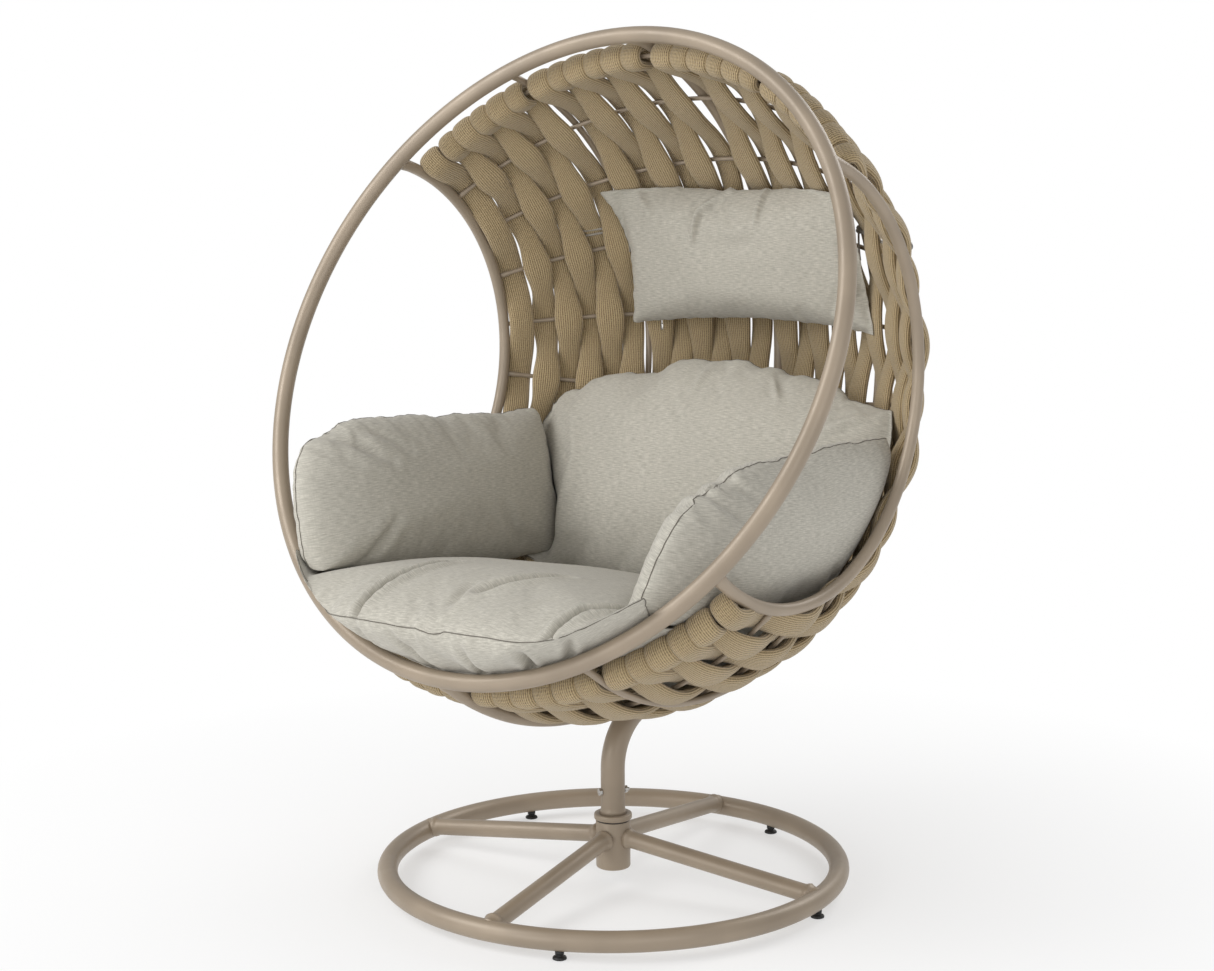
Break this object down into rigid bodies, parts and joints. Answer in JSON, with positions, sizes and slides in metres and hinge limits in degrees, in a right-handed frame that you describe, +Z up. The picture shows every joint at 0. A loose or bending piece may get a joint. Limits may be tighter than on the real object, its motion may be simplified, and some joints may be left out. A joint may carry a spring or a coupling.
{
  "type": "swivel egg chair",
  "caption": "Woven round lounge chair basket on a swan-neck post that swivels in a ring base, with seat, back and arm cushions and a tied head pillow.",
  "frame": {"origin": "point on the floor under the middle of the overall box, 36 mm behind the swivel axis", "axes": "+Z up, parallel to the swivel axis, the seat faces -Y, +X is to the right seen from the front"},
  "size_m": [1.152, 0.9726, 1.4634],
  "materials": {
    "taupe_paint": "satin powder coat",
    "foot_plastic": "matte black",
    "bush_plastic": "smooth black",
    "zinc_steel": "zinc plated",
    "toggle_metal": "dark nickel",
    "knitted_belt": "flat knitted polyester tube, fine lengthwise ribs",
    "cushion_fabric": "melange woven outdoor fabric",
    "tie_cord": "woven tape"
  },
  "bodies": {
    "base": {"base_ring": "taupe_paint", "spoke_1": "taupe_paint", "spoke_2": "taupe_paint", "spoke_3": "taupe_paint", "spoke_4": "taupe_paint", "hub": "taupe_paint", "upper_bush": "bush_plastic", "lower_bush": "bush_plastic", "foot_1": "foot_plastic", "foot_2": "foot_plastic", "foot_3": "foot_plastic", "foot_4": "foot_plastic", "foot_5": "foot_plastic"},
    "basket": {"spindle": "zinc_steel", "collar": "taupe_paint", "end_bolt": "zinc_steel", "post": "taupe_paint", "post_bolt": "zinc_steel", "basket_bolt_1": "zinc_steel", "basket_bolt_2": "zinc_steel", "front_ring": "taupe_paint", "side_hoop_left": "taupe_paint", "side_hoop_right": "taupe_paint", "spine": "taupe_paint", "rib_left": "taupe_paint", "rib_right": "taupe_paint", "top_edge_rod": "taupe_paint", "rod_1": "taupe_paint", "rod_2": "taupe_paint", "rod_3": "taupe_paint", "rod_4": "taupe_paint", "rod_5": "taupe_paint", "rod_6": "taupe_paint", "rod_7": "taupe_paint", "rod_8": "taupe_paint", "rod_9": "taupe_paint", "rod_10": "taupe_paint", "rod_11": "taupe_paint", "bottom_edge_rod": "taupe_paint", "belt_1": "knitted_belt", "belt_2": "knitted_belt", "belt_3": "knitted_belt", "belt_4": "knitted_belt", "belt_5": "knitted_belt", "belt_6": "knitted_belt", "belt_7": "knitted_belt", "belt_8": "knitted_belt", "belt_9": "knitted_belt", "belt_10": "knitted_belt", "belt_11": "knitted_belt", "belt_12": "knitted_belt", "seat_cushion": "cushion_fabric", "back_cushion": "cushion_fabric", "arm_cushion_left": "cushion_fabric", "arm_cushion_right": "cushion_fabric", "head_pillow": "cushion_fabric", "pillow_tie_left": "tie_cord", "pillow_tie_right": "tie_cord", "tie_toggle_left": "toggle_metal", "tie_toggle_right": "toggle_metal"}
  },
  "joints": [
    {"name": "swivel", "type": "hinge", "parent": "base", "child": "basket", "pos_m": [0, -0.036, 0.1], "axis": [0, 0, 1], "continuous": true}
  ]
}
